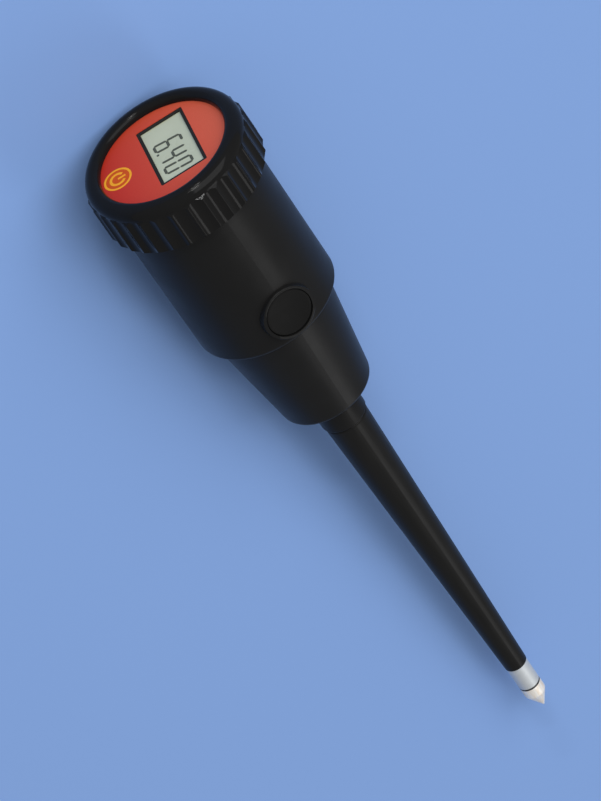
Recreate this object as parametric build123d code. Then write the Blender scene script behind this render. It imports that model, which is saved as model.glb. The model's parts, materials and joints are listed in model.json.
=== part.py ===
from build123d import *
import math
import os

# Soil pH meter: a round display head on a barrel, a conical lower housing and a tapered probe with a
# ring electrode and a pointed tip electrode. Everything is in millimetres.
#
# The pieces are made upright, with the meter's axis on Z, the point of the tip at Z = 0 and the side
# button on +X. The finished meter is then laid on its side, as it rests on a table: head towards -X,
# side button up, on the barrel's lower edge and on two ribs of the bezel ring, with the probe's end in
# the air.

# Probe: tip, insulating bush, ferrule, tube and conductors
tip_length = 11.6
tip_cone_length = 7.4
tip_shoulder_round = 1.2
tip_point_radius = 0.35
tip_spigot_radius = 1.9
tip_spigot_length = 10.4
bush_flange_thickness = 0.8
bush_sleeve_wall = 0.6
bush_sleeve_length = 8.6
ferrule_radius = 4.0
ferrule_length = 10.6
ferrule_spigot_wall = 0.5
ferrule_spigot_length = 8.0
tube_length = 134.5
tube_end_radius = 4.25
tube_shoulder_radius = 8.15
tube_shoulder_round = 1.2
tube_spigot_radius = 6.0
tube_spigot_length = 26.5
conductor_radius = 1.0
conductor_stand = 3.0
conductor_sleeve_wall = 0.5
lead_radius = 0.5
lead_x = 10.0
lead_y = 10.5
lead_straight = 12.0
lead_climb = 14.0
lead_bend_radius = 6.0

# Lower housing and the clamp that holds the probe in it
collar_step = 0.45
collar_length = 13.5
collar_round = 0.6
housing_length = 45.0
housing_flare = 6.0
housing_step = 3.3
housing_wall = 2.2
housing_floor = 2.5
housing_edge_round = 1.8
housing_ledge = 2.0
housing_spigot_margin = 2.1
housing_spigot_wall = 2.0
seal_cord_radius = 0.6
seal_groove_width = 1.5
washer_thickness = 1.2
washer_radius = 9.0
nut_across_flats = 17.0
nut_height = 6.0

# Barrel, as wide and as long as the battery in its cradle needs
cradle_margin = 1.1
nose_wall = 1.4
nose_step = 0.8
thread_step = 0.65
barrel_draft = 0.35
barrel_floor = 2.0
barrel_edge_round = 1.5
barrel_shoulder_height = 1.4
thread_length = 7.1
nose_length = 3.8
gasket_thickness = 1.2
gasket_width = 1.2

# Side button, the rim round it and the switch behind it
button_height = 11.5
button_radius = 8.7
button_recess = 0.5
button_dish_depth = 0.35
button_edge_round = 0.5
button_flange_width = 0.5
button_flange_thickness = 1.2
button_wall = 1.6
button_stem_radius = 2.0
button_stem_length = 1.9
button_travel = 1.2
rim_width = 1.1
rim_height = 1.2
rim_flare = 0.7
rim_round = 0.5
rim_mouth_round = 0.35
pad_depth = 2.2
pad_margin = 0.3
plunger_radius = 1.6
plunger_length = 4.5
plunger_stand = 2.5
switch_size = 12.0
switch_depth = 6.0
switch_corner = 0.6
switch_board_width = 19.0
switch_board_height = 16.0
switch_screw_y = 7.9
switch_post_radius = 1.5
switch_lead_y = 4.0

# Battery and its cradle
battery_thickness = 17.5
battery_width = 26.5
battery_height = 46.4
battery_corner = 2.0
battery_offset = 6.45
terminal_height = 2.1
terminal_spacing = 12.7
small_terminal_radius = 2.9
large_terminal_radius = 3.9
snap_thickness = 3.6
snap_width = 11.5
snap_length = 25.5
snap_lead_inset = 2.5
snap_lead_length = 7.6
cradle_wall = 1.5
cradle_base = 1.8
cradle_wall_height = 30.0
cradle_front_inset = 7.8
cradle_window_x = 12.0
cradle_window_length = 12.0
cradle_window_width = 26.0
grip_slot_width = 6.0
grip_slot_rise = 8.0
post_radius = 1.8
post_inset = 2.5
post_angles = (85.0, 124.0, -85.0, -124.0)

# Boards and contacts
board_thickness = 1.6
contact_board_gap = 0.5
pin_length = 5.0
pin_body_length = 3.2
pin_radius = 0.6
pin_body_radius = 1.0
pin_count = 4
pin_spacing = 3.5
pin_row_x = 11.0
main_board_gap = 0.6
chip_size = 12.0
chip_thickness = 1.6
chip_x = -7.0
chip_y = 5.0

# Display unit: film, face plate, display cell and power key
display_turn = -14.0
window_x = -1.6
film_thickness = 0.3
film_inset = 1.4
window_length = 32.5
window_height = 17.8
window_border = 1.2
window_y = 3.5
window_corner = 0.6
plate_thickness = 2.5
plate_lip = 0.6
skirt_gap = 0.4
skirt_wall = 1.4
skirt_length = 3.4
key_width = 2.4
key_height = 0.4
cell_length = 32.4
cell_height = 18.4
cell_thickness = 2.2
strip_width = 1.8
strip_length = 29.0
strip_inset = 1.2
power_key_inset = 7.1
power_key_radius = 3.9
power_key_thickness = 1.6
power_key_travel = 0.3
power_stem_radius = 1.2
power_switch_size = 6.0
power_switch_height = 2.0
power_switch_floor = 0.8
boss_radius = 2.4
boss_inset = 0.6
boss_angles = (90.0, 215.0, 325.0)

# Bezel ring and its retaining ring
crest_height = 3.2
bezel_wall = 4.0
rib_count = 32
rib_half_width = 0.45
rib_round_height = 0.15
rib_end_chamfer = 0.8
flute_depth = 0.9
flange_step = 0.8
flange_land = 0.4
flange_nose_round = 4.0
opening_overlap = 1.1
opening_edge_height = 2.2
skirt_relief_height = 1.8
retaining_thickness = 1.2
retaining_depth = 1.1
retaining_gap_width = 6.0

# Fasteners
housing_screw_inset = 3.4
housing_screw_angles = (60.0, 180.0, 300.0)
housing_screw_length = 12.0
housing_screw_radius = 1.1
housing_boss_radius = 2.2
small_screw_radius = 0.8
small_screw_length = 5.5
screw_head_height = 1.3
screw_head_ratio = 1.7
screw_head_chamfer = 0.35
screw_slot_width = 0.4
screw_slot_depth = 0.5

# Clearances
fit_gap = 0.1
running_gap = 0.08
free_gap = 0.3

# Stations along the axis, from the point of the tip
z_bush = tip_length
z_ferrule = z_bush + bush_flange_thickness
z_tube = z_ferrule + ferrule_length
z_collar = z_tube + tube_length
z_housing = z_collar + collar_length
z_barrel = z_housing + housing_length
z_conductor = z_bush + tip_spigot_length
z_tube_top = z_collar + tube_spigot_length
z_washer = z_housing + housing_floor
z_nut = z_washer + washer_thickness
z_cradle = z_barrel + barrel_floor
z_battery = z_cradle + cradle_base
z_button = z_barrel + button_height
z_snap = z_battery + battery_height
z_snap_leads = z_snap + snap_thickness
z_contact_board = z_snap_leads + snap_lead_length
z_contact_top = z_contact_board + board_thickness
z_main_board = z_contact_top + pin_length
z_board_top = z_main_board + board_thickness
z_plate = z_board_top + skirt_length
z_film = z_plate + plate_thickness
z_film_top = z_film + film_thickness
z_crest = z_film_top + crest_height
z_cell_top = z_film - plate_lip
z_cell = z_cell_top - cell_thickness
z_rim = z_plate - gasket_thickness
z_nose = z_rim - nose_length
z_thread = z_nose - thread_length
z_bezel = z_thread - barrel_shoulder_height
z_rib_top = z_crest - flange_nose_round - flange_land
z_retaining = z_plate - free_gap - retaining_thickness

# Bores and faces that follow from the pieces they fit
bush_bore = tip_spigot_radius + fit_gap
ferrule_bore = bush_bore + bush_sleeve_wall + fit_gap
tube_bore = ferrule_bore + ferrule_spigot_wall + fit_gap
ferrule_lead_y = tube_bore - lead_radius - 1.5 * fit_gap
tube_hole_radius = tube_spigot_radius + fit_gap
collar_radius = tube_shoulder_radius + collar_step
screw_hole_radius = housing_screw_radius + fit_gap
pilot_radius = small_screw_radius + fit_gap
pocket_length = battery_thickness + 2 * free_gap
pocket_width = battery_width + 2 * free_gap
pocket_corner = (battery_offset + pocket_length / 2 + cradle_wall, pocket_width / 2 + cradle_wall)
barrel_bore_radius = math.hypot(*pocket_corner) + cradle_margin
nose_radius = barrel_bore_radius + nose_wall
thread_radius = nose_radius + nose_step
barrel_top_radius = thread_radius + thread_step
barrel_bottom_radius = barrel_top_radius - barrel_draft
housing_top_radius = barrel_bottom_radius - housing_step
housing_bottom_radius = housing_top_radius - housing_flare
housing_screw_circle = housing_top_radius - housing_screw_inset
housing_spigot_radius = housing_screw_circle - housing_spigot_margin
ring_bore_radius = thread_radius + free_gap
rib_radius = ring_bore_radius + bezel_wall
flange_radius = rib_radius - flange_step
rib_pitch = 360 / rib_count
plate_radius = ring_bore_radius - free_gap
film_radius = plate_radius - film_inset
opening_radius = film_radius - opening_overlap
power_key_y = power_key_inset - film_radius
skirt_radius = barrel_bore_radius - skirt_gap
boss_circle_radius = skirt_radius - skirt_wall - boss_inset - boss_radius
main_board_radius = barrel_bore_radius - main_board_gap
contact_board_radius = barrel_bore_radius - contact_board_gap
post_circle_radius = barrel_bore_radius - post_inset
cradle_front_x = barrel_bore_radius - cradle_front_inset
battery_x = -battery_offset
x_wall_middle = (barrel_bore_radius + barrel_bottom_radius) / 2
rim_radius = button_radius + rim_width
rim_crest_x = barrel_bottom_radius + rim_height
rim_foot_radius = rim_radius + rim_flare
rim_foot_x = math.sqrt(x_wall_middle ** 2 - rim_foot_radius ** 2)
button_face_x = rim_crest_x - button_recess
pad_face_x = barrel_bore_radius - pad_depth
button_hole_radius = button_radius + running_gap
button_flange_radius = button_radius + button_flange_width
x_button_flange = pad_face_x - free_gap
x_button_back = x_button_flange - button_flange_thickness
x_stem_end = x_button_back - button_stem_length
x_switch_front = x_stem_end - plunger_stand
x_switch_back = x_switch_front - switch_depth


def turned(points):
    """Turn an outline of (radius, height) points about the meter's axis."""
    outline = Polyline(*[(radius, 0, height) for radius, height in points], close=True)
    return revolve(make_face(outline), Axis.Z, 360)


def ring(inner, outer, low, high):
    """A plain ring or sleeve about the meter's axis."""
    return turned([(inner, low), (outer, low), (outer, high), (inner, high)])


def bar(x, y, radius, low, high):
    """A round bar along Z from one height to another."""
    return Pos(x, y, (low + high) / 2) * Cylinder(radius, high - low)


def block(x, y, low, size_x, size_y, size_z):
    """A rectangular block that stands on the height low."""
    return Pos(x, y, low + size_z / 2) * Box(size_x, size_y, size_z)


def side_bar(y, z, radius, low, high):
    """A round bar along X, the direction in which the side button is pressed."""
    return Pos((low + high) / 2, y, z) * Rot(0, 90, 0) * Cylinder(radius, high - low)


def polar(radius, angle):
    """The place at an angle in degrees on a circle about the meter's axis."""
    return radius * math.cos(math.radians(angle)), radius * math.sin(math.radians(angle))


def round_edges(shape, axis, height):
    """The round edges of a shape in one plane across an axis, smallest first."""
    found = shape.edges().filter_by(GeomType.CIRCLE)
    return found.filter_by_position(axis, height - 0.01, height + 0.01).sort_by(SortBy.RADIUS)


def screw(radius, length):
    """A slotted screw along Z, with the head standing on Z = 0 and the shank below."""
    head_radius = radius * screw_head_ratio
    head = bar(0, 0, head_radius, 0, screw_head_height)
    head = chamfer(round_edges(head, Axis.Z, screw_head_height), screw_head_chamfer)
    slot_floor = screw_head_height - screw_slot_depth
    head -= block(0, 0, slot_floor, 2 * head_radius + 1, screw_slot_width, screw_head_height)
    return head + bar(0, 0, radius, -length, 0)


def group(pieces):
    """Keep several separate solids together as one node."""
    return Compound(children=[piece.solid() for piece in pieces])


def lead(points):
    """A wire along straight runs joined by arcs."""
    path = FilletPolyline(*points, radius=lead_bend_radius)
    start = Plane(origin=path @ 0, z_dir=path % 0)
    return sweep(start * Circle(lead_radius), path)


# Probe


def make_tip_electrode():
    point = turned([
        (0, 0),
        (tip_point_radius * 0.7, 0),
        (tip_point_radius, tip_point_radius * 0.6),
        (ferrule_radius, tip_cone_length),
        (ferrule_radius, z_bush),
        (0, z_bush),
    ])
    point = fillet(round_edges(point, Axis.Z, tip_cone_length), tip_shoulder_round)
    return point + bar(0, 0, tip_spigot_radius, z_bush, z_conductor)


def make_insulating_bush():
    sleeve_radius = bush_bore + bush_sleeve_wall
    return turned([
        (bush_bore, z_bush),
        (ferrule_radius, z_bush),
        (ferrule_radius, z_ferrule),
        (sleeve_radius, z_ferrule),
        (sleeve_radius, z_ferrule + bush_sleeve_length),
        (bush_bore, z_ferrule + bush_sleeve_length),
    ])


def make_ferrule_electrode():
    spigot_radius = ferrule_bore + ferrule_spigot_wall
    return turned([
        (ferrule_bore, z_ferrule),
        (ferrule_radius, z_ferrule),
        (ferrule_radius, z_tube),
        (spigot_radius, z_tube),
        (spigot_radius, z_tube + ferrule_spigot_length),
        (ferrule_bore, z_tube + ferrule_spigot_length),
    ])


def make_probe_tube():
    tube = turned([
        (tube_bore, z_tube),
        (tube_end_radius, z_tube),
        (tube_shoulder_radius, z_collar),
        (tube_spigot_radius, z_collar),
        (tube_spigot_radius, z_tube_top),
        (tube_bore, z_tube_top),
    ])
    return fillet(round_edges(tube, Axis.Z, z_collar)[-1], tube_shoulder_round)


def make_conductor_rod():
    return bar(0, 0, conductor_radius, z_conductor, z_tube_top + conductor_stand)


def make_conductor_sleeve():
    inner = conductor_radius + fit_gap
    return ring(inner, inner + conductor_sleeve_wall, z_conductor, z_tube_top)


def make_ferrule_lead():
    bend = z_tube_top + lead_straight
    return lead([
        (0, ferrule_lead_y, z_tube + ferrule_spigot_length),
        (0, ferrule_lead_y, bend),
        (lead_x, lead_y, bend + lead_climb),
        (lead_x, lead_y, z_contact_board),
    ])


def make_tip_lead():
    bend = z_tube_top + lead_straight
    return lead([
        (0, 0, z_tube_top + conductor_stand),
        (0, 0, bend),
        (lead_x, -lead_y, bend + lead_climb),
        (lead_x, -lead_y, z_contact_board),
    ])


# Lower housing


def make_lower_housing():
    taper = (housing_top_radius - housing_bottom_radius) / housing_length
    groove_top = z_collar + 2 * seal_cord_radius + fit_gap
    spigot_inside = housing_spigot_radius - housing_spigot_wall
    shell = turned([
        (tube_hole_radius, groove_top),
        (tube_hole_radius + seal_groove_width, groove_top),
        (tube_hole_radius + seal_groove_width, z_collar),
        (collar_radius, z_collar),
        (collar_radius, z_housing),
        (housing_bottom_radius, z_housing),
        (housing_top_radius, z_barrel),
        (housing_spigot_radius, z_barrel),
        (housing_spigot_radius, z_cradle),
        (spigot_inside, z_cradle),
        (spigot_inside, z_barrel - housing_ledge),
        (housing_top_radius - taper * housing_ledge - housing_wall, z_barrel - housing_ledge),
        (housing_bottom_radius + taper * housing_floor - housing_wall, z_washer),
        (tube_hole_radius, z_washer),
    ])
    shell = fillet(round_edges(shell, Axis.Z, z_housing)[-1], housing_edge_round)
    shell = fillet(round_edges(shell, Axis.Z, z_collar)[-1], collar_round)
    # Screw bosses grow out of the wall under the ledge and stay inside the cone
    boss_low = z_battery - housing_screw_length - housing_ledge
    core = turned([
        (0, z_housing),
        (housing_bottom_radius - housing_wall / 2, z_housing),
        (housing_top_radius - housing_wall / 2, z_barrel),
        (0, z_barrel),
    ])
    for angle in housing_screw_angles:
        x, y = polar(housing_screw_circle, angle)
        shell += bar(x, y, housing_boss_radius, boss_low, z_barrel - housing_ledge / 2) & core
    for angle in housing_screw_angles:
        x, y = polar(housing_screw_circle, angle)
        shell -= bar(x, y, screw_hole_radius, boss_low + housing_ledge / 2, z_barrel + 1)
    return shell


def make_neck_seal():
    middle = tube_hole_radius + seal_groove_width / 2
    return Pos(0, 0, z_collar + seal_cord_radius + fit_gap / 2) * Torus(middle, seal_cord_radius)


def make_clamp_washer():
    return ring(tube_hole_radius, washer_radius, z_washer, z_nut)


def make_clamp_nut():
    flat = nut_across_flats / 2
    corner = flat / math.cos(math.pi / 6)
    crown = (corner - flat) / 2
    top = z_nut + nut_height
    prism = Pos(0, 0, z_nut) * extrude(RegularPolygon(flat, 6, major_radius=False), nut_height)
    crowned = turned([
        (0, z_nut),
        (flat, z_nut),
        (corner, z_nut + crown),
        (corner, top - crown),
        (flat, top),
        (0, top),
    ])
    return (prism & crowned) - bar(0, 0, tube_hole_radius, z_nut - 1, top + 1)


def make_housing_screws():
    screws = []
    for angle in housing_screw_angles:
        x, y = polar(housing_screw_circle, angle)
        screws.append(Pos(x, y, z_battery) * screw(housing_screw_radius, housing_screw_length))
    return group(screws)


# Barrel


def make_button_rim():
    """The low boss round the side button: flared foot in the curved wall, rounded crest."""
    height = rim_crest_x - rim_foot_x
    cone = Rot(0, 90, 0) * Cone(rim_foot_radius, rim_radius, height)
    rim = Pos(rim_foot_x + height / 2, 0, z_button) * cone
    rim = fillet(round_edges(rim, Axis.X, rim_crest_x), rim_round)
    outside = ring(x_wall_middle, rim_crest_x + 1, z_barrel + barrel_edge_round, z_bezel)
    return rim & outside


def make_barrel():
    floor_hole = housing_spigot_radius + fit_gap
    shell = turned([
        (floor_hole, z_barrel),
        (barrel_bottom_radius, z_barrel),
        (barrel_top_radius, z_bezel),
        (barrel_top_radius, z_thread),
        (thread_radius, z_thread),
        (thread_radius, z_nose),
        (nose_radius, z_nose),
        (nose_radius, z_rim),
        (barrel_bore_radius, z_rim),
        (barrel_bore_radius, z_cradle),
        (floor_hole, z_cradle),
    ])
    shell = fillet(round_edges(shell, Axis.Z, z_barrel)[-1], barrel_edge_round)
    shell += make_button_rim()
    # A flat pad inside gives the button's flange a seat in the curved wall
    pad = side_bar(0, z_button, button_flange_radius + pad_margin, pad_face_x, rim_crest_x)
    shell += pad & bar(0, 0, x_wall_middle, z_cradle, z_bezel)
    shell -= side_bar(0, z_button, button_hole_radius, pad_face_x - 1, rim_crest_x + 1)
    shell = fillet(round_edges(shell, Axis.X, rim_crest_x)[0], rim_mouth_round)
    # A slot in the mouth takes the face plate's key
    slot_depth = key_height + free_gap
    slot_width = key_width + 2 * free_gap
    slot = block(barrel_bore_radius, 0, z_nose, 2 * slot_depth, slot_width, nose_length + 1)
    shell -= Rot(0, 0, display_turn) * slot
    for angle in housing_screw_angles:
        x, y = polar(housing_screw_circle, angle)
        shell -= bar(x, y, screw_hole_radius, z_barrel - 1, z_cradle + 1)
    return shell


def make_rim_gasket():
    gasket = ring(nose_radius - gasket_width, nose_radius, z_rim, z_plate)
    notch_depth = key_height + free_gap
    notch_width = key_width + 2 * free_gap
    notch = block(barrel_bore_radius, 0, z_rim - 1, 2 * notch_depth, notch_width, gasket_thickness + 2)
    return gasket - Rot(0, 0, display_turn) * notch


# Side button and switch


def make_side_button():
    cap = side_bar(0, z_button, button_radius, x_button_back, button_face_x)
    cap = fillet(round_edges(cap, Axis.X, button_face_x), button_edge_round)
    cap += side_bar(0, z_button, button_flange_radius, x_button_back, x_button_flange)
    x_hollow_end = button_face_x - button_wall
    cap -= side_bar(0, z_button, button_radius - button_wall, x_button_back - 1, x_hollow_end)
    cap += side_bar(0, z_button, button_stem_radius, x_stem_end, x_hollow_end)
    # The thumb dish is a shallow slice of a large ball
    chord = button_radius - 2 * button_edge_round
    ball_radius = (chord ** 2 + button_dish_depth ** 2) / (2 * button_dish_depth)
    ball = Pos(button_face_x + ball_radius - button_dish_depth, 0, z_button) * Sphere(ball_radius)
    return cap - ball


def make_switch_plunger():
    return side_bar(0, z_button, plunger_radius, x_stem_end - plunger_length, x_stem_end)


def make_side_switch():
    middle = (x_switch_front + x_switch_back) / 2
    body = Pos(middle, 0, z_button) * Box(switch_depth, switch_size, switch_size)
    body = chamfer(body.edges().filter_by(Axis.X), switch_corner)
    well_end = x_stem_end - plunger_length - button_travel - free_gap
    return body - side_bar(0, z_button, plunger_radius + running_gap, well_end, x_switch_front + 1)


def make_switch_board():
    low = z_battery + free_gap
    middle = x_switch_back - board_thickness / 2
    back = x_switch_back - board_thickness
    board = block(middle, 0, low, board_thickness, switch_board_width, switch_board_height)
    for side in (-1, 1):
        board -= side_bar(side * switch_screw_y, z_button, pilot_radius, back - 1, x_switch_back + 1)
    return board


def make_switch_board_screws():
    sideways = Rot(0, 90, 0) * screw(small_screw_radius, small_screw_length - board_thickness)
    return group([Pos(x_switch_back, side * switch_screw_y, z_button) * sideways for side in (-1, 1)])


def make_switch_leads():
    low = z_battery + free_gap + switch_board_height
    x = x_switch_back - board_thickness / 2
    return group([bar(x, side * switch_lead_y, lead_radius, low, z_contact_board) for side in (-1, 1)])


# Battery and contacts


def post_places():
    return [polar(post_circle_radius, angle) for angle in post_angles]


def make_cradle_pocket():
    """Four walls round the battery, with a grip slot in each side wall."""
    outer_length = pocket_length + 2 * cradle_wall
    outer_width = pocket_width + 2 * cradle_wall
    pocket = block(battery_x, 0, z_battery, outer_length, outer_width, cradle_wall_height)
    pocket -= block(battery_x, 0, z_battery, pocket_length, pocket_width, cradle_wall_height)
    slot_foot = z_battery + grip_slot_rise
    return pocket - block(battery_x, 0, slot_foot, grip_slot_width, outer_width + 1, cradle_wall_height)


def make_battery_cradle():
    cradle = bar(0, 0, barrel_bore_radius - free_gap, z_cradle, z_battery)
    low = z_cradle - 1
    deep = cradle_base + 2
    front_cut = barrel_bore_radius
    cradle -= block(cradle_front_x + front_cut / 2, 0, low, front_cut, 2 * front_cut, deep)
    cradle -= block(cradle_window_x, 0, low, cradle_window_length, cradle_window_width, deep)
    cradle += make_cradle_pocket()
    # Posts carry the contact board, each tied to the pocket by a web
    wall_face = pocket_width / 2
    for x, y in post_places():
        cradle += bar(x, y, post_radius, z_cradle, z_contact_board)
        web_middle = math.copysign((wall_face + abs(y)) / 2, y)
        cradle += block(x, web_middle, z_cradle, cradle_wall, abs(y) - wall_face, cradle_wall_height)
    pocket_front = battery_x + pocket_length / 2
    board_back = x_switch_back - board_thickness
    for side in (-1, 1):
        cradle += side_bar(side * switch_screw_y, z_button, switch_post_radius, pocket_front, board_back)
        screw_end = board_back - small_screw_length
        cradle -= side_bar(side * switch_screw_y, z_button, pilot_radius, screw_end, board_back + 1)
    for x, y in post_places():
        cradle -= bar(x, y, pilot_radius, z_contact_board - small_screw_length, z_contact_board + 1)
    for angle in housing_screw_angles:
        x, y = polar(housing_screw_circle, angle)
        cradle -= bar(x, y, screw_hole_radius, z_cradle - 1, z_battery + 1)
    return cradle


def make_battery():
    case = block(battery_x, 0, z_battery, battery_thickness, battery_width, battery_height)
    case = fillet(case.edges().filter_by(Axis.Z), battery_corner)
    half = terminal_spacing / 2
    case += bar(battery_x, half, small_terminal_radius, z_snap, z_snap + terminal_height)
    case += bar(battery_x, -half, large_terminal_radius, z_snap, z_snap + terminal_height)
    return case


def make_battery_snap():
    half = terminal_spacing / 2
    socket_top = z_snap + terminal_height + free_gap
    snap = block(battery_x, 0, z_snap, snap_width, snap_length, snap_thickness)
    snap = fillet(snap.edges().filter_by(Axis.Z), battery_corner)
    snap -= bar(battery_x, half, small_terminal_radius + fit_gap, z_snap, socket_top)
    snap -= bar(battery_x, -half, large_terminal_radius + fit_gap, z_snap, socket_top)
    return snap


def make_battery_leads():
    y = snap_length / 2 - snap_lead_inset
    return group([bar(battery_x, side * y, lead_radius, z_snap_leads, z_contact_board) for side in (-1, 1)])


def make_contact_board():
    board = bar(0, 0, contact_board_radius, z_contact_board, z_contact_top)
    for x, y in post_places():
        board -= bar(x, y, pilot_radius, z_contact_board - 1, z_contact_top + 1)
    return board


def make_contact_board_screws():
    return group([Pos(x, y, z_contact_top) * screw(small_screw_radius, small_screw_length)
                  for x, y in post_places()])


def make_contact_pins():
    pins = []
    for index in range(pin_count):
        y = (index - (pin_count - 1) / 2) * pin_spacing
        body = bar(pin_row_x, y, pin_body_radius, z_contact_top, z_contact_top + pin_body_length)
        pins.append(body + bar(pin_row_x, y, pin_radius, z_contact_top, z_main_board))
    return group(pins)


# Display unit, made square to the axes and then turned as a whole


def display_turned(shape):
    return Rot(0, 0, display_turn) * shape


def boss_places():
    return [polar(boss_circle_radius, angle) for angle in boss_angles]


def make_main_board():
    board = bar(0, 0, main_board_radius, z_main_board, z_board_top)
    for x, y in boss_places():
        board -= bar(x, y, pilot_radius, z_main_board - 1, z_board_top + 1)
    return display_turned(board)


def make_controller_chip():
    low = z_main_board - chip_thickness
    return display_turned(block(chip_x, chip_y, low, chip_size, chip_size, chip_thickness))


def make_board_screws():
    upward = Rot(180, 0, 0) * screw(small_screw_radius, small_screw_length - free_gap)
    screws = [Pos(x, y, z_main_board) * upward for x, y in boss_places()]
    return display_turned(group(screws))


def make_lcd_glass():
    return display_turned(block(window_x, window_y, z_cell, cell_length, cell_height, cell_thickness))


def make_zebra_strips():
    offset = cell_height / 2 - strip_inset
    tall = z_cell - z_board_top
    strips = [
        block(window_x, window_y + side * offset, z_board_top, strip_length, strip_width, tall)
        for side in (-1, 1)
    ]
    return display_turned(group(strips))


def make_face_plate():
    plate = bar(0, 0, plate_radius, z_plate, z_film)
    plate += ring(skirt_radius - skirt_wall, skirt_radius, z_board_top, z_plate)
    key_inside = skirt_radius - skirt_wall / 2
    key_outside = barrel_bore_radius + key_height
    key_middle = (key_inside + key_outside) / 2
    plate += block(key_middle, 0, z_board_top, key_outside - key_inside, key_width, skirt_length)
    for x, y in boss_places():
        plate += bar(x, y, boss_radius, z_board_top, z_plate)
        plate -= bar(x, y, pilot_radius, z_board_top - 1, z_main_board + small_screw_length)
    room_length = cell_length + 2 * free_gap
    room_height = cell_height + 2 * free_gap
    plate -= block(window_x, window_y, z_cell, room_length, room_height, cell_thickness)
    view_length = window_length - 2 * window_border
    view_height = window_height - 2 * window_border
    plate -= block(window_x, window_y, z_plate, view_length, view_height, plate_thickness + 1)
    plate -= bar(window_x, power_key_y, power_key_radius + running_gap, z_plate - 1, z_film + 1)
    return display_turned(plate)


def make_label_film():
    film = bar(0, 0, film_radius, z_film, z_film_top)
    opening = RectangleRounded(window_length, window_height, window_corner)
    film -= Pos(window_x, window_y, z_film - 1) * extrude(opening, film_thickness + 2)
    return display_turned(film)


def make_power_key():
    top = z_film - free_gap
    low = top - power_key_thickness
    stem_low = z_board_top + power_switch_floor + power_key_travel + free_gap
    key = bar(window_x, power_key_y, power_key_radius, low, top)
    return display_turned(key + bar(window_x, power_key_y, power_stem_radius, stem_low, low))


def make_power_switch():
    size = power_switch_size
    body = block(window_x, power_key_y, z_board_top, size, size, power_switch_height)
    well_floor = z_board_top + power_switch_floor
    well_top = z_board_top + power_switch_height + 1
    well = bar(window_x, power_key_y, power_stem_radius + running_gap, well_floor, well_top)
    return display_turned(body - well)


# Bezel ring


def make_ribs():
    """Narrow round ribs with shallow flutes between them, chamfered at both ends."""
    shoulder_radius = rib_radius - rib_round_height
    half_rib = math.degrees(rib_half_width / rib_radius)
    outline = []
    for index in range(rib_count):
        middle = (index + 0.5) * rib_pitch
        rib_end = polar(shoulder_radius, middle + half_rib)
        flute_end = polar(shoulder_radius, middle + rib_pitch - half_rib)
        flute_middle = polar(rib_radius - flute_depth, middle + rib_pitch / 2)
        outline += [
            ThreePointArc(polar(shoulder_radius, middle - half_rib), polar(rib_radius, middle), rib_end),
            ThreePointArc(rib_end, flute_middle, flute_end),
        ]
    prism = Pos(0, 0, z_bezel) * extrude(make_face(outline), z_rib_top - z_bezel)
    foot = rib_radius - rib_end_chamfer
    outside = rib_radius + 1
    slope = outside - foot
    chamfered = turned([
        (0, z_bezel),
        (foot, z_bezel),
        (outside, z_bezel + slope),
        (outside, z_rib_top - slope),
        (foot, z_rib_top),
        (0, z_rib_top),
    ])
    return prism & chamfered


def make_flange():
    """The ring's smooth front: softly rounded inner edge, crest and full outer nose."""
    crest_radius = flange_radius - flange_nose_round
    diagonal = flange_nose_round * math.sqrt(0.5)
    foot_height = z_rib_top - flange_land
    inner_edge = (opening_radius, 0, z_crest - opening_edge_height)
    inner_width = crest_radius - opening_radius
    inner_middle = (opening_radius + 0.29 * inner_width, 0, z_crest - 0.29 * opening_edge_height)
    crest = (crest_radius, 0, z_crest)
    outer_middle = (crest_radius + diagonal, 0, z_crest - flange_nose_round + diagonal)
    outer_edge = (flange_radius, 0, z_crest - flange_nose_round)
    outer_foot = (flange_radius, 0, foot_height)
    inner_foot = (opening_radius, 0, foot_height)
    outline = [
        ThreePointArc(inner_edge, inner_middle, crest),
        ThreePointArc(crest, outer_middle, outer_edge),
        Line(outer_edge, outer_foot),
        Line(outer_foot, inner_foot),
        Line(inner_foot, inner_edge),
    ]
    return revolve(make_face(outline), Axis.Z, 360)


def make_bezel_ring():
    cavity_top = z_film_top + free_gap
    groove_radius = ring_bore_radius + retaining_depth
    body = make_flange() + make_ribs()
    body -= bar(0, 0, ring_bore_radius, z_bezel - 1, cavity_top)
    body -= bar(0, 0, barrel_top_radius + free_gap, z_bezel - 1, z_bezel + skirt_relief_height)
    body -= bar(0, 0, opening_radius, z_bezel, z_crest + 1)
    return body - bar(0, 0, groove_radius, z_retaining, z_retaining + retaining_thickness + fit_gap)


def make_retaining_ring():
    outer = ring_bore_radius + retaining_depth - fit_gap
    split = ring(nose_radius + free_gap, outer, z_retaining, z_retaining + retaining_thickness)
    return split - block(-nose_radius, 0, z_retaining - 1, nose_radius, retaining_gap_width,
                         retaining_thickness + 2)


# The meter at rest


def resting_turn():
    """Turn the meter onto its side: it rests on the barrel's rounded lower edge and on two ribs."""
    rib_foot = z_bezel + rib_end_chamfer
    rib_depth = rib_radius * math.cos(math.radians(rib_pitch / 2))
    rise = rib_foot - z_barrel - barrel_edge_round
    step = rib_depth - barrel_bottom_radius + barrel_edge_round
    angle = math.acos(barrel_edge_round / math.hypot(rise, step)) - math.atan2(rise, step)
    lift = rib_depth * math.cos(angle) - rib_foot * math.sin(angle)
    return Pos(0, 0, lift) * Rot(0, math.degrees(angle) - 90, 0)


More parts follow.
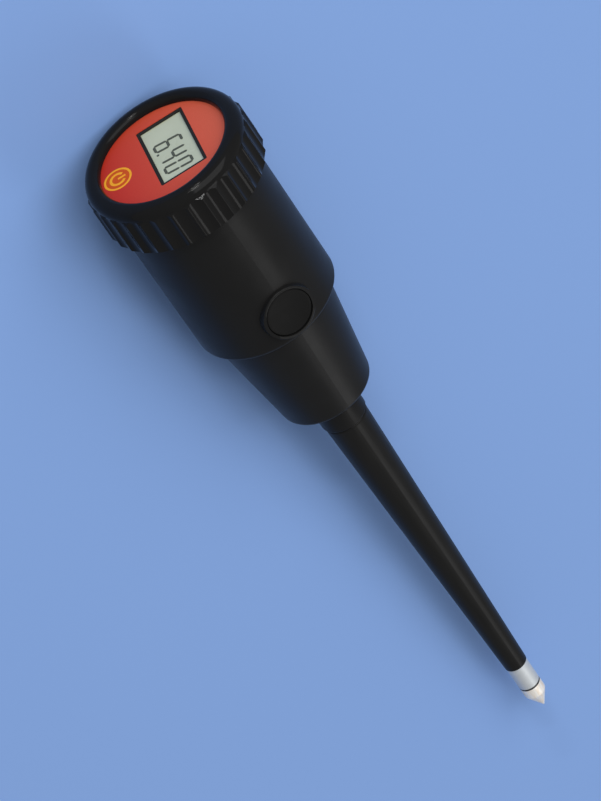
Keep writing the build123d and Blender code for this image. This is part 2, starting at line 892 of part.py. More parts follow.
pieces = {
    "tip_electrode": make_tip_electrode(),
    "insulating_bush": make_insulating_bush(),
    "ferrule_electrode": make_ferrule_electrode(),
    "probe_tube": make_probe_tube(),
    "conductor_rod": make_conductor_rod(),
    "conductor_sleeve": make_conductor_sleeve(),
    "ferrule_lead": make_ferrule_lead(),
    "tip_lead": make_tip_lead(),
    "lower_housing": make_lower_housing(),
    "neck_seal": make_neck_seal(),
    "clamp_washer": make_clamp_washer(),
    "clamp_nut": make_clamp_nut(),
    "housing_screws": make_housing_screws(),
    "barrel": make_barrel(),
    "rim_gasket": make_rim_gasket(),
    "side_button": make_side_button(),
    "switch_plunger": make_switch_plunger(),
    "side_switch": make_side_switch(),
    "switch_board": make_switch_board(),
    "switch_board_screws": make_switch_board_screws(),
    "switch_leads": make_switch_leads(),
    "battery_cradle": make_battery_cradle(),
    "battery": make_battery(),
    "battery_snap": make_battery_snap(),
    "battery_leads": make_battery_leads(),
    "contact_board": make_contact_board(),
    "contact_board_screws": make_contact_board_screws(),
    "contact_pins": make_contact_pins(),
    "main_board": make_main_board(),
    "controller_chip": make_controller_chip(),
    "board_screws": make_board_screws(),
    "lcd_glass": make_lcd_glass(),
    "zebra_strips": make_zebra_strips(),
    "face_plate": make_face_plate(),
    "label_film": make_label_film(),
    "power_key": make_power_key(),
    "power_switch": make_power_switch(),
    "bezel_ring": make_bezel_ring(),
    "retaining_ring": make_retaining_ring(),
}

# The origin lies on the table, under the middle of the whole meter
turn = resting_turn()
head_end = (turn * pieces["bezel_ring"]).bounding_box().min.X
tip_end = (turn * pieces["tip_electrode"]).bounding_box().max.X
placement = Pos(-(head_end + tip_end) / 2, 0, 0) * turn

os.makedirs("parts", exist_ok=True)
for name, piece in pieces.items():
    export_step(placement * piece, f"parts/{name}.step")
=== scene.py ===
import json
import math

import bmesh
import bpy
from mathutils import Matrix, Vector


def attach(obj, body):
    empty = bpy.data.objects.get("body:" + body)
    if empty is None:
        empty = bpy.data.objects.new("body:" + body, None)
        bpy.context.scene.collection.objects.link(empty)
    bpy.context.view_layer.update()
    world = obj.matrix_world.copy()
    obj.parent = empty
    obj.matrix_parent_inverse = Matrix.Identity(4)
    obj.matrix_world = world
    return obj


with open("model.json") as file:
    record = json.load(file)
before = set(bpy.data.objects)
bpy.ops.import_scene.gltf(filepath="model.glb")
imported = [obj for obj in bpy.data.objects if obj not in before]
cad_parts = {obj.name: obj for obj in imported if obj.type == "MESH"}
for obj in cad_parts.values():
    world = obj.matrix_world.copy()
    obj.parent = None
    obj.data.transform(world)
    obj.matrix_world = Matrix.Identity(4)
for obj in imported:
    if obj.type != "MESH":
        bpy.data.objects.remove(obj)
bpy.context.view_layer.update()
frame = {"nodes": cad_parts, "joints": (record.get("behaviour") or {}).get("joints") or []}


# Camera
# The meter lies on its side with the probe's end a little in the air, and is seen from above its head
# through a long lens. Its axis is read from the joint of the bezel ring.

joints = {joint["name"]: joint for joint in frame["joints"]}
headward = Vector(joints["bezel_turn"]["axis"]).normalized()
pivot_height = 0.280
tip_point = Vector(joints["bezel_turn"]["pos_m"]) - headward * pivot_height
sideways = Vector((0, 1, 0))
buttonward = sideways.cross(headward)
lying = Matrix((buttonward, sideways, headward)).transposed().to_4x4()
lying.translation = tip_point

sight_slant = math.radians(51.9)
button_turn = math.radians(9.3)
image_turn = math.radians(55.18)
near = buttonward * math.cos(button_turn) - sideways * math.sin(button_turn)
across = buttonward * math.sin(button_turn) + sideways * math.cos(button_turn)
sight = -headward * math.cos(sight_slant) - near * math.sin(sight_slant)
along = -headward * math.sin(sight_slant) + near * math.cos(sight_slant)
image_right = along * math.cos(image_turn) + across * math.sin(image_turn)
image_down = along * math.sin(image_turn) - across * math.cos(image_turn)

camera_distance = 3.235
farthest_view = 50
sensor_width = 36
focal_pixels = 9715
image_height = 801
image_middle = (300.5, 400.5)
label_height = 0.2912
label_pixel = (164.4, 155.2)
metres_per_pixel = camera_distance / focal_pixels
aim = tip_point + headward * label_height
aim += image_right * (image_middle[0] - label_pixel[0]) * metres_per_pixel
aim += image_down * (image_middle[1] - label_pixel[1]) * metres_per_pixel

camera_data = bpy.data.cameras.new("camera")
camera_data.sensor_width = sensor_width
camera_data.lens = sensor_width * focal_pixels / image_height
camera_data.clip_end = farthest_view
camera = bpy.data.objects.new("camera", camera_data)
camera.matrix_world = Matrix((image_right, -image_down, -sight)).transposed().to_4x4()
camera.location = aim - sight * camera_distance
bpy.context.scene.collection.objects.link(camera)
bpy.context.scene.camera = camera
bpy.context.scene.view_settings.view_transform = "Standard"


# Floor and lights
# A plain pale floor under a pale sky. One large soft box stands up to the right of the picture. A strip
# draws the soft stripe on the barrel and the probe, two thin tubes the streaks on the bezel's rim, and a
# low box brightens the lower edges of the housings.


def start_material(name, roughness=0.5, metallic=0.0, gloss_level=0.5):
    """A new node material, with its nodes, its links and its shader."""
    material = bpy.data.materials.new(name)
    material.use_nodes = True
    nodes = material.node_tree.nodes
    shader = nodes["Principled BSDF"]
    shader.inputs["Roughness"].default_value = roughness
    shader.inputs["Metallic"].default_value = metallic
    shader.inputs["Specular IOR Level"].default_value = gloss_level
    return material, nodes, material.node_tree.links, shader


def noise(nodes, links, place, scale, detail=4.0, roughness=0.5):
    """A noise pattern on a place, from 0 to 1, with about so many cells to a metre."""
    pattern = nodes.new("ShaderNodeTexNoise")
    pattern.inputs["Scale"].default_value = scale
    pattern.inputs["Detail"].default_value = detail
    pattern.inputs["Roughness"].default_value = roughness
    links.new(place, pattern.inputs["Vector"])
    return pattern.outputs["Fac"]


def blend_colours(nodes, links, factor, first, second):
    """A colour between two, each a colour or another node's colour output."""
    mix = nodes.new("ShaderNodeMixRGB")
    links.new(factor, mix.inputs["Fac"])
    for name, colour in (("Color1", first), ("Color2", second)):
        if isinstance(colour, tuple):
            mix.inputs[name].default_value = (*colour, 1)
        else:
            links.new(colour, mix.inputs[name])
    return mix.outputs["Color"]


def new_piece(name, shape, material):
    """Make a finished piece from a bmesh that is already in its place."""
    mesh = bpy.data.meshes.new(name)
    shape.to_mesh(mesh)
    shape.free()
    mesh.materials.append(material)
    piece = bpy.data.objects.new(name, mesh)
    bpy.context.scene.collection.objects.link(piece)
    return piece


floor_half = 15.0
floor_paint, nodes, links, shader = start_material("floor paint", roughness=0.85)
mottle = noise(nodes, links, nodes.new("ShaderNodeTexCoord").outputs["Object"], scale=3, detail=2.0)
floor_colour = blend_colours(nodes, links, mottle, (0.203, 0.345, 0.675), (0.209, 0.352, 0.685))
links.new(floor_colour, shader.inputs["Base Color"])
shape = bmesh.new()
bmesh.ops.create_grid(shape, x_segments=1, y_segments=1, size=floor_half)
floor = new_piece("floor", shape, floor_paint)

sky_colour = (0.97, 0.98, 1.0, 1)
sky_strength = 0.39
world = bpy.data.worlds.new("studio")
world.use_nodes = True
world.node_tree.nodes["Background"].inputs["Color"].default_value = sky_colour
world.node_tree.nodes["Background"].inputs["Strength"].default_value = sky_strength
bpy.context.scene.world = world

lit_point = tip_point + headward * 0.16


def soft_box(name, towards, long_way, distance, width, height, power):
    """A rectangular soft box that faces the meter's middle, with its width along long_way."""
    lamp = bpy.data.lights.new(name, "AREA")
    lamp.shape = "RECTANGLE"
    lamp.size = width
    lamp.size_y = height
    lamp.energy = power
    back = towards.normalized()
    up = back.cross(long_way).normalized()
    box = bpy.data.objects.new(name, lamp)
    box.matrix_world = Matrix((up.cross(back), up, back)).transposed().to_4x4()
    box.location = lit_point + back * distance
    bpy.context.scene.collection.objects.link(box)


key_direction = headward * 0.52 + near * 0.72 + across * 0.46
soft_box("key", key_direction, across, distance=2.4, width=2.1, height=2.1, power=36.5)
strip_direction = near * 0.66 - headward * 0.66 + across * 0.36
soft_box("strip", strip_direction, -headward, distance=1.2, width=0.8, height=0.28, power=2.2)
for name, rise in (("low tube", 0.34), ("high tube", 0.60)):
    tube_direction = headward * 0.95 + near * rise + across * 0.10
    soft_box(name, tube_direction, across, distance=1.2, width=0.20, height=0.008, power=1.3)
edge_direction = near * 0.30 - headward * 0.90 + across * 0.30
soft_box("edge", edge_direction, across, distance=2.0, width=0.8, height=0.16, power=1.8)


# Tip electrode
# A pointed cone turned from a pale sensing metal, ground flush with its bush. The metal's long grains
# show as beige and white streaks from the base to the point.


def meter_place(nodes, links):
    """Object coordinates turned to the upright meter: Z runs from the tip to the head, in metres."""
    coordinates = nodes.new("ShaderNodeTexCoord")
    mapping = nodes.new("ShaderNodeMapping")
    mapping.vector_type = "TEXTURE"
    mapping.inputs["Location"].default_value = tip_point
    mapping.inputs["Rotation"].default_value = lying.to_euler()
    links.new(coordinates.outputs["Object"], mapping.inputs["Vector"])
    return mapping.outputs["Vector"]


def stretched(nodes, links, place, across_axis, along_axis):
    """A place scaled apart across and along the meter's axis, for marks that run one way."""
    scale = nodes.new("ShaderNodeVectorMath")
    scale.operation = "MULTIPLY"
    scale.inputs[1].default_value = (across_axis, across_axis, along_axis)
    links.new(place, scale.inputs[0])
    return scale.outputs["Vector"]


def spread(nodes, links, value, low, high, start=0.3, stop=0.7):
    """A value's range from start to stop, spread from low to high."""
    change = nodes.new("ShaderNodeMapRange")
    change.inputs["From Min"].default_value = start
    change.inputs["From Max"].default_value = stop
    change.inputs["To Min"].default_value = low
    change.inputs["To Max"].default_value = high
    links.new(value, change.inputs["Value"])
    return change.outputs["Result"]


def set_finish(links, shader, colour, roughness):
    """Give a shader its colour and its roughness, each from a pattern."""
    links.new(colour, shader.inputs["Base Color"])
    links.new(roughness, shader.inputs["Roughness"])


def raise_bumps(nodes, links, shader, height, depth):
    """Relief from a pattern that goes from 0 to 1, so many metres deep."""
    bump = nodes.new("ShaderNodeBump")
    bump.inputs["Distance"].default_value = depth
    links.new(height, bump.inputs["Height"])
    links.new(bump.outputs["Normal"], shader.inputs["Normal"])


def dress(material, *names):
    """Give CAD nodes their material."""
    for name in names:
        for part_slot in frame["nodes"][name].material_slots:
            part_slot.material = material


streak_slant = 60
tip_metal, nodes, links, shader = start_material("tip metal", metallic=0.35)
place = meter_place(nodes, links)
around = nodes.new("ShaderNodeVectorMath")
around.operation = "NORMALIZE"
links.new(stretched(nodes, links, place, 1, 0), around.inputs[0])
lengthwise = nodes.new("ShaderNodeVectorMath")
lengthwise.operation = "MULTIPLY_ADD"
lengthwise.inputs[1].default_value = (0, 0, streak_slant)
links.new(place, lengthwise.inputs[0])
links.new(around.outputs["Vector"], lengthwise.inputs[2])
grain = noise(nodes, links, lengthwise.outputs["Vector"], scale=3.2, detail=5.0, roughness=0.6)
warmth = spread(nodes, links, grain, 0, 1, start=0.38, stop=0.62)
colour = blend_colours(nodes, links, warmth, (0.95, 0.94, 0.91), (0.86, 0.76, 0.64))
set_finish(links, shader, colour, spread(nodes, links, grain, 0.40, 0.58))
raise_bumps(nodes, links, shader, grain, depth=0.00006)
dress(tip_metal, "tip_electrode")


# Insulating bush
# A thin black resin washer with a sleeve, pressed between the tip and the ferrule so that the two
# metals never touch.

bush_resin, nodes, links, shader = start_material("bush resin")
specks = noise(nodes, links, meter_place(nodes, links), scale=4000)
colour = blend_colours(nodes, links, specks, (0.010, 0.010, 0.011), (0.022, 0.021, 0.020))
set_finish(links, shader, colour, spread(nodes, links, specks, 0.42, 0.6))
raise_bumps(nodes, links, shader, specks, depth=0.00001)
dress(bush_resin, "insulating_bush")


# Ferrule electrode
# A silver ring turned on a lathe. The tool leaves very fine rings in it, which spread the light across
# the ferrule.

ferrule_metal, nodes, links, shader = start_material("ferrule metal", metallic=0.6)
place = meter_place(nodes, links)
rings = noise(nodes, links, stretched(nodes, links, place, 0, 1), scale=9000, detail=3.0, roughness=0.7)
clouds = noise(nodes, links, place, scale=500)
colour = blend_colours(nodes, links, clouds, (0.68, 0.71, 0.73), (0.59, 0.62, 0.64))
set_finish(links, shader, colour, spread(nodes, links, rings, 0.52, 0.66))
raise_bumps(nodes, links, shader, rings, depth=0.000006)
dress(ferrule_metal, "ferrule_electrode")


# Probe tube
# A tapered tube moulded in black glass-filled resin. The flow of the resin along the mould leaves long
# faint streaks in its sheen.

tube_resin, nodes, links, shader = start_material("tube resin", gloss_level=0.12)
place = meter_place(nodes, links)
flow = noise(nodes, links, stretched(nodes, links, place, 1, 0.06), scale=900, detail=6.0, roughness=0.6)
grit = noise(nodes, links, place, scale=5200, detail=2.0)
colour = blend_colours(nodes, links, flow, (0.0075, 0.0075, 0.0072), (0.0122, 0.0117, 0.0108))
set_finish(links, shader, colour, spread(nodes, links, flow, 0.32, 0.46))
raise_bumps(nodes, links, shader, grit, depth=0.000012)
dress(tube_resin, "probe_tube")


# Conductors, clamp and seal
# A brass rod in a clear sleeve carries the tip's signal up the tube. A steel washer and a crowned brass
# nut draw the tube's spigot into the lower housing, against a rubber ring in the collar.

turned_brass, nodes, links, shader = start_material("turned brass", metallic=1.0)
place = meter_place(nodes, links)
tarnish = noise(nodes, links, place, scale=260, detail=5.0)
rings = noise(nodes, links, stretched(nodes, links, place, 0, 1), scale=5000, detail=2.0)
tarnish_share = spread(nodes, links, tarnish, 0, 1)
colour = blend_colours(nodes, links, tarnish_share, (0.72, 0.50, 0.20), (0.56, 0.36, 0.13))
set_finish(links, shader, colour, spread(nodes, links, tarnish, 0.24, 0.42))
raise_bumps(nodes, links, shader, rings, depth=0.000008)
dress(turned_brass, "conductor_rod", "clamp_nut")

zinc_steel, nodes, links, shader = start_material("zinc-plated steel", metallic=1.0)
place = meter_place(nodes, links)
plating = noise(nodes, links, place, scale=700, detail=5.0)
plating_share = spread(nodes, links, plating, 0, 1)
colour = blend_colours(nodes, links, plating_share, (0.62, 0.64, 0.67), (0.50, 0.51, 0.52))
set_finish(links, shader, colour, spread(nodes, links, plating, 0.26, 0.44))
raise_bumps(nodes, links, shader, noise(nodes, links, place, scale=6000), depth=0.000005)
dress(zinc_steel, "clamp_washer", "housing_screws", "switch_board_screws", "contact_board_screws",
      "board_screws", "retaining_ring")

clear_sleeve, nodes, links, shader = start_material("clear sleeve")
haze = noise(nodes, links, stretched(nodes, links, meter_place(nodes, links), 1, 0.1), scale=1500)
colour = blend_colours(nodes, links, haze, (0.72, 0.73, 0.72), (0.58, 0.60, 0.60))
set_finish(links, shader, colour, spread(nodes, links, haze, 0.3, 0.45))
shader.inputs["Subsurface Weight"].default_value = 0.3
shader.inputs["Subsurface Radius"].default_value = (0.001, 0.001, 0.001)
dress(clear_sleeve, "conductor_sleeve")

seal_rubber, nodes, links, shader = start_material("seal rubber")
bloom = noise(nodes, links, meter_place(nodes, links), scale=1800, detail=5.0)
colour = blend_colours(nodes, links, bloom, (0.012, 0.012, 0.012), (0.035, 0.034, 0.033))
set_finish(links, shader, colour, spread(nodes, links, bloom, 0.6, 0.85))
raise_bumps(nodes, links, shader, bloom, depth=0.00002)
dress(seal_rubber, "neck_seal", "rim_gasket")


def wire_insulation(name, colour, dark, *wires):
    """Soft vinyl round a stranded wire: the strands' lay shows faintly along it."""
    material, nodes, links, shader = start_material(name)
    lay = noise(nodes, links, stretched(nodes, links, meter_place(nodes, links), 1, 0.4), scale=2200)
    colour = blend_colours(nodes, links, lay, colour, dark)
    set_finish(links, shader, colour, spread(nodes, links, lay, 0.38, 0.55))
    raise_bumps(nodes, links, shader, lay, depth=0.00003)
    dress(material, *wires)


wire_insulation("red vinyl", (0.50, 0.020, 0.016), (0.38, 0.012, 0.010), "ferrule_lead", "battery_leads")
wire_insulation("black vinyl", (0.014, 0.014, 0.015), (0.024, 0.023, 0.022), "tip_lead", "switch_leads")


# Lower housing and barrel
# Two mouldings in the same black plastic, screwed together from inside. Their skin is smooth and takes
# a broad soft highlight, with a fine spark-eroded grain from the mould that only shows close up.

moulded_black, nodes, links, shader = start_material("moulded black plastic", gloss_level=0.12)
place = meter_place(nodes, links)
grain = noise(nodes, links, place, scale=3600, detail=3.0, roughness=0.6)
handling = noise(nodes, links, place, scale=55, detail=5.0, roughness=0.6)
colour = blend_colours(nodes, links, handling, (0.0080, 0.0080, 0.0079), (0.0112, 0.0109, 0.0106))
set_finish(links, shader, colour, spread(nodes, links, handling, 0.32, 0.42))
raise_bumps(nodes, links, shader, grain, depth=0.000014)
dress(moulded_black, "lower_housing", "barrel")


# Barrel thread
# The ring's thread is moulded on the barrel's spigot: a low rounded ridge that winds up it two turns and
# a bit, 2.5 mm to a turn. It shows when the bezel ring is unscrewed.

thread_pitch = 0.0025
thread_turns = 2.2
thread_start = 0.2776
thread_root = 0.02592
thread_crest = 0.02624
ridge_half_foot = 0.0006
ridge_half_crest = 0.00025
steps_per_turn = 72

shape = bmesh.new()
ridge = [
    shape.verts.new((thread_root, 0, thread_start - ridge_half_foot)),
    shape.verts.new((thread_crest, 0, thread_start - ridge_half_crest)),
    shape.verts.new((thread_crest, 0, thread_start + ridge_half_crest)),
    shape.verts.new((thread_root, 0, thread_start + ridge_half_foot)),
]
bmesh.ops.spin(
    shape,
    geom=[shape.faces.new(ridge)],
    cent=(0, 0, 0),
    axis=(0, 0, 1),
    dvec=(0, 0, thread_pitch / steps_per_turn),
    angle=math.tau * thread_turns,
    steps=round(thread_turns * steps_per_turn),
    use_merge=False,
    use_duplicate=False,
)
bmesh.ops.recalc_face_normals(shape, faces=shape.faces)
bmesh.ops.transform(shape, matrix=lying, verts=shape.verts)
barrel_thread = new_piece("barrel_thread", shape, moulded_black)
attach(barrel_thread, "housing")


# Side button and its switch
# A black cap with a shallow thumb dish, coloured darker and duller than the barrel. Behind it a white
# plunger works a boxed switch on a small board.

button_plastic, nodes, links, shader = start_material("button plastic", gloss_level=0.06)
place = meter_place(nodes, links)
grain = noise(nodes, links, place, scale=3000, detail=3.0)
# The cap's colour is set darker than the barrel's, with a random mottle.
button_mottle = noise(nodes, links, place, scale=220, detail=5.0)
colour = blend_colours(nodes, links, button_mottle, (0.0055, 0.0055, 0.0054), (0.0090, 0.0088, 0.0085))
set_finish(links, shader, colour, spread(nodes, links, button_mottle, 0.38, 0.54))
raise_bumps(nodes, links, shader, grain, depth=0.000012)
dress(button_plastic, "side_button")


def plain_plastic(name, colour, dark, matt, *parts):
    """A plain moulded plastic with a fine even grain, and its roughness."""
    material, nodes, links, shader = start_material(name)
    grain = noise(nodes, links, meter_place(nodes, links), scale=2600)
    colour = blend_colours(nodes, links, grain, colour, dark)
    set_finish(links, shader, colour, spread(nodes, links, grain, matt - 0.07, matt + 0.07))
    raise_bumps(nodes, links, shader, grain, depth=0.00001)
    dress(material, *parts)


plain_plastic("white acetal", (0.80, 0.80, 0.77), (0.70, 0.70, 0.67), 0.42, "switch_plunger", "power_key")
plain_plastic("black switch resin", (0.016, 0.016, 0.017), (0.028, 0.027, 0.026), 0.5,
              "side_switch", "battery_snap", "controller_chip", "power_switch")
plain_plastic("cradle plastic", (0.020, 0.020, 0.021), (0.033, 0.032, 0.031), 0.55, "battery_cradle")


# Boards
# Glass-fibre boards under green solder mask. The copper tracks below it run in straight lines and lift
# the mask a little. Gold-plated pins stand on the contact board.

tracks_per_metre = 260
track_width = 0.06
track_softness = 0.3
board_mask, nodes, links, shader = start_material("green solder mask")
place = meter_place(nodes, links)
tracks = nodes.new("ShaderNodeTexBrick")
tracks.inputs["Scale"].default_value = tracks_per_metre
tracks.inputs["Mortar Size"].default_value = track_width
tracks.inputs["Mortar Smooth"].default_value = track_softness
links.new(place, tracks.inputs["Vector"])
mask = tracks.outputs["Fac"]
weave = noise(nodes, links, place, scale=2400)
colour = blend_colours(nodes, links, mask, (0.012, 0.105, 0.040), (0.030, 0.190, 0.075))
set_finish(links, shader, colour, spread(nodes, links, weave, 0.28, 0.42))
raise_bumps(nodes, links, shader, mask, depth=0.00003)
dress(board_mask, "switch_board", "contact_board", "main_board")

gold_plate, nodes, links, shader = start_material("gold plate", metallic=1.0)
wear = noise(nodes, links, meter_place(nodes, links), scale=2500)
colour = blend_colours(nodes, links, wear, (0.88, 0.62, 0.24), (0.78, 0.54, 0.22))
set_finish(links, shader, colour, spread(nodes, links, wear, 0.18, 0.3))
dress(gold_plate, "contact_pins")


# Battery
# A standard block battery in a printed metal jacket: dark below, with a plain silver-grey band round its
# upper part. The jacket is rolled thin metal, so it dents and shines a little unevenly.

band_foot = 0.2520
band_blur = 0.0002
jacket, nodes, links, shader = start_material("battery jacket", metallic=0.8)
place = meter_place(nodes, links)
height = nodes.new("ShaderNodeSeparateXYZ")
links.new(place, height.inputs["Vector"])
band = spread(nodes, links, height.outputs["Z"], 0, 1, start=band_foot, stop=band_foot + band_blur)
dents = noise(nodes, links, place, scale=120)
colour = blend_colours(nodes, links, band, (0.018, 0.020, 0.026), (0.42, 0.43, 0.44))
set_finish(links, shader, colour, spread(nodes, links, dents, 0.22, 0.36))
raise_bumps(nodes, links, shader, dents, depth=0.0001)
dress(jacket, "battery")


# Display cell
# A reflective liquid-crystal cell: grey-green behind its front glass, with the reading in dark slanted
# segments. Striped rubber strips join the glass to the main board.

cell_glass, nodes, links, shader = start_material("display cell glass", gloss_level=0.25)
place = meter_place(nodes, links)
fog = noise(nodes, links, place, scale=90, detail=3.0)
fine = noise(nodes, links, place, scale=9000, detail=1.0)
fog_share = spread(nodes, links, fog, 0, 1)
fogged = blend_colours(nodes, links, fog_share, (0.605, 0.62, 0.43), (0.545, 0.565, 0.385))
colour = blend_colours(nodes, links, spread(nodes, links, fine, 0, 0.25), fogged, (0.47, 0.49, 0.34))
set_finish(links, shader, colour, spread(nodes, links, fog, 0.22, 0.3))
shader.inputs["Coat Weight"].default_value = 0.25
shader.inputs["Coat Roughness"].default_value = 0.05
dress(cell_glass, "lcd_glass")

stripes_per_metre = 900
strip_rubber, nodes, links, shader = start_material("striped contact rubber", roughness=0.6)
bands = nodes.new("ShaderNodeTexWave")
bands.bands_direction = "X"
bands.inputs["Scale"].default_value = stripes_per_metre
links.new(meter_place(nodes, links), bands.inputs["Vector"])
colour = blend_colours(nodes, links, bands.outputs["Fac"], (0.42, 0.38, 0.36), (0.03, 0.03, 0.03))
links.new(colour, shader.inputs["Base Color"])
dress(strip_rubber, "zebra_strips")

display_turn = math.radians(-14.0)
display_lying = lying @ Matrix.Rotation(display_turn, 4, "Z")
cell_face = 0.2909
segment_thickness = 0.00006
digit_half_width = 0.00175
digit_half_height = 0.0049
digit_slant = 0.11
digit_middle_y = 0.0028
digit_places = {"6": -0.0049, "4": 0.0016, "0": 0.00815}
segment_half_width = 0.00050
segment_gap = 0.00007
lit_segments = {"6": "acdefg", "4": "bcfg", "0": "abcdef"}
point_place = (-0.0021, -0.0020)
point_steps = 16

segment_dye, nodes, links, shader = start_material("segment dye", gloss_level=0.1)
unevenness = noise(nodes, links, meter_place(nodes, links), scale=3500)
colour = blend_colours(nodes, links, unevenness, (0.085, 0.090, 0.066), (0.108, 0.114, 0.084))
links.new(colour, shader.inputs["Base Color"])

segment_ends = {
    "a": ((-digit_half_width, digit_half_height), (digit_half_width, digit_half_height)),
    "b": ((digit_half_width, digit_half_height), (digit_half_width, 0)),
    "c": ((digit_half_width, 0), (digit_half_width, -digit_half_height)),
    "d": ((digit_half_width, -digit_half_height), (-digit_half_width, -digit_half_height)),
    "e": ((-digit_half_width, -digit_half_height), (-digit_half_width, 0)),
    "f": ((-digit_half_width, 0), (-digit_half_width, digit_half_height)),
    "g": ((-digit_half_width, 0), (digit_half_width, 0)),
}


def lift_to_solid(shape, thickness):
    """Give the flat faces of a bmesh a thickness upwards."""
    raised = bmesh.ops.extrude_face_region(shape, geom=shape.faces[:])["geom"]
    tops = [vert for vert in raised if isinstance(vert, bmesh.types.BMVert)]
    bmesh.ops.translate(shape, vec=(0, 0, thickness), verts=tops)
    bmesh.ops.recalc_face_normals(shape, faces=shape.faces)


shape = bmesh.new()
for digit, place_x in digit_places.items():
    for letter in lit_segments[digit]:
        start, stop = (Vector((*end, 0)) for end in segment_ends[letter])
        way = (stop - start).normalized()
        side = Vector((-way.y, way.x, 0)) * segment_half_width
        start += way * segment_gap
        stop -= way * segment_gap
        shoulder = way * segment_half_width
        outline = (
            start,
            start + shoulder - side,
            stop - shoulder - side,
            stop,
            stop - shoulder + side,
            start + shoulder + side,
        )
        shape.faces.new([
            shape.verts.new((p.x + p.y * digit_slant + place_x, p.y + digit_middle_y, cell_face))
            for p in outline
        ])
point = bmesh.ops.create_circle(
    shape, cap_ends=True, segments=point_steps, radius=segment_half_width
)["verts"]
bmesh.ops.translate(shape, vec=(*point_place, cell_face), verts=point)
lift_to_solid(shape, segment_thickness)
bmesh.ops.transform(shape, matrix=display_lying, verts=shape.verts)
reading = new_piece("display_reading", shape, segment_dye)
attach(reading, "display_unit")


# Face plate and label film
# The black plate frames the display. Over it lies a red printed film, satin on top, with a power mark
# over the hidden key. Its red is painted lighter towards its upper right: a painted highlight.

plate_black, nodes, links, shader = start_material("plate black", gloss_level=0.1)
grain = noise(nodes, links, meter_place(nodes, links), scale=3000)
colour = blend_colours(nodes, links, grain, (0.019, 0.020, 0.017), (0.027, 0.028, 0.024))
set_finish(links, shader, colour, spread(nodes, links, grain, 0.55, 0.66))
dress(plate_black, "face_plate")

# Where the painted highlight on the film starts and ends, along the film's turned Y.
painted_glare_foot = -0.020
painted_glare_top = 0.022
label_red, nodes, links, shader = start_material("red film", gloss_level=0.2)
place = meter_place(nodes, links)
turned_place = nodes.new("ShaderNodeMapping")
turned_place.vector_type = "TEXTURE"
turned_place.inputs["Rotation"].default_value = (0, 0, display_turn)
links.new(place, turned_place.inputs["Vector"])
parts_of_place = nodes.new("ShaderNodeSeparateXYZ")
links.new(turned_place.outputs["Vector"], parts_of_place.inputs["Vector"])
# Painted highlight: the film's red is mixed lighter towards its upper right, as if light fell there.
painted_glare = spread(nodes, links, parts_of_place.outputs["Y"], 0, 1, start=painted_glare_foot, stop=painted_glare_top)
dots = noise(nodes, links, place, scale=5200, detail=1.0)
red_with_painted_glare = blend_colours(nodes, links, painted_glare, (0.585, 0.034, 0.016), (0.76, 0.132, 0.062))
colour = blend_colours(nodes, links, spread(nodes, links, dots, 0, 0.12), red_with_painted_glare, (0.30, 0.015, 0.010))
set_finish(links, shader, colour, spread(nodes, links, dots, 0.44, 0.52))
raise_bumps(nodes, links, shader, dots, depth=0.000008)
dress(label_red, "label_film")


def printed_ink(name, colour, thin):
    """A screen-printed ink that covers the film a little unevenly."""
    ink, nodes, links, shader = start_material(name, gloss_level=0.2)
    cover = noise(nodes, links, meter_place(nodes, links), scale=4200)
    colour = blend_colours(nodes, links, spread(nodes, links, cover, 0, 1), colour, thin)
    set_finish(links, shader, colour, spread(nodes, links, cover, 0.45, 0.55))
    return ink


mark_orange = printed_ink("orange ink", (1.0, 0.47, 0.022), (0.96, 0.38, 0.018))
mark_dark_red = printed_ink("dark red ink", (0.72, 0.10, 0.006), (0.62, 0.075, 0.005))

film_top = 0.2918
ink_layer = 0.00002
mark_place = (-0.0016, -0.0175)
mark_ring = (0.0044, 0.0052)
mark_disc = 0.0045
mark_steps = 72
glyph_ring = (0.0021, 0.0031)
glyph_gap = math.radians(36)
glyph_steps = 48
glyph_bar_half_width = 0.00045
glyph_bar = (0.0001, 0.0030)
same_point = 0.000001


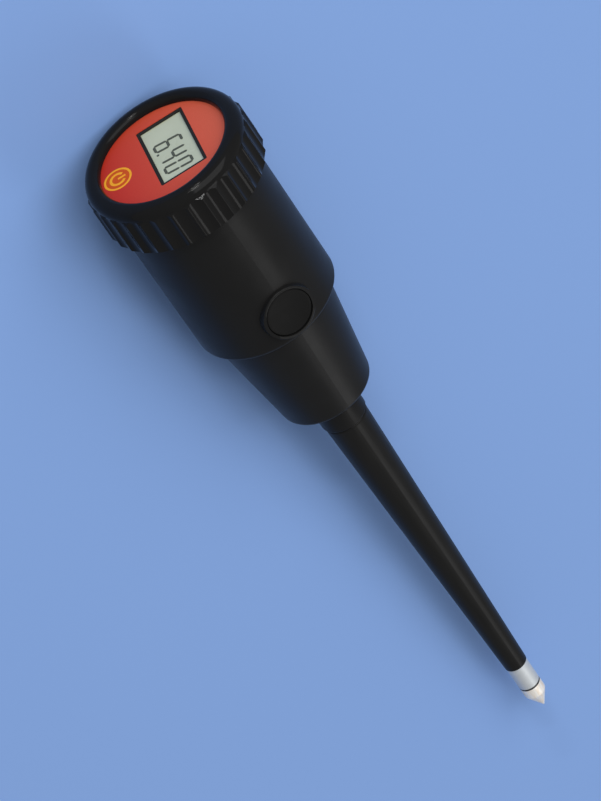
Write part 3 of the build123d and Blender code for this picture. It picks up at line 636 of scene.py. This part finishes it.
def swept_band(shape, inner, outer, middle_angle, angle, steps):
    """A flat band swept round the origin: a full ring or an arc about an angle."""
    turn = Matrix.Rotation(middle_angle - angle / 2, 4, "Z")
    ends = [shape.verts.new(turn @ Vector((radius, 0, 0))) for radius in (inner, outer)]
    bmesh.ops.spin(
        shape,
        geom=[*ends, shape.edges.new(ends)],
        cent=(0, 0, 0),
        axis=(0, 0, 1),
        angle=angle,
        steps=steps,
        use_merge=angle == math.tau,
        use_duplicate=False,
    )


def print_mark(name, shape, layers, ink):
    """Lay a flat mark on the film as a piece, so many layers of ink thick."""
    lift_to_solid(shape, layers * ink_layer)
    bmesh.ops.translate(shape, vec=(*mark_place, film_top), verts=shape.verts)
    bmesh.ops.transform(shape, matrix=display_lying, verts=shape.verts)
    mark = new_piece(name, shape, ink)
    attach(mark, "display_unit")


shape = bmesh.new()
bmesh.ops.create_circle(shape, cap_ends=True, segments=mark_steps, radius=mark_disc)
print_mark("power_mark_disc", shape, 1, mark_dark_red)

shape = bmesh.new()
swept_band(shape, *mark_ring, 0, math.tau, mark_steps)
swept_band(shape, *glyph_ring, -math.pi / 2, math.tau - 2 * glyph_gap, glyph_steps)
bar = bmesh.ops.create_grid(shape, x_segments=1, y_segments=1, size=1)["verts"]
bmesh.ops.scale(shape, vec=(glyph_bar_half_width, (glyph_bar[1] - glyph_bar[0]) / 2, 1), verts=bar)
bmesh.ops.translate(shape, vec=(0, (glyph_bar[0] + glyph_bar[1]) / 2, 0), verts=bar)
bmesh.ops.remove_doubles(shape, verts=shape.verts, dist=same_point)
print_mark("power_mark_lines", shape, 2, mark_orange)


# Bezel ring
# The screw ring that holds the face plate down: the same black plastic from a polished mould, so the
# rim and the ribs take thin sharp highlights, with a few hair scratches from hands and benches.

bezel_black, nodes, links, shader = start_material("polished black plastic", gloss_level=0.08)
place = meter_place(nodes, links)
scratch_place = stretched(nodes, links, place, 1, 0.15)
scratches = noise(nodes, links, scratch_place, scale=700, detail=8.0, roughness=0.7)
hands = noise(nodes, links, place, scale=70, detail=5.0)
colour = blend_colours(nodes, links, hands, (0.0085, 0.0084, 0.0082), (0.0112, 0.0109, 0.0106))
set_finish(links, shader, colour, spread(nodes, links, hands, 0.06, 0.12))
raise_bumps(nodes, links, shader, scratches, depth=0.00001)
dress(bezel_black, "bezel_ring")
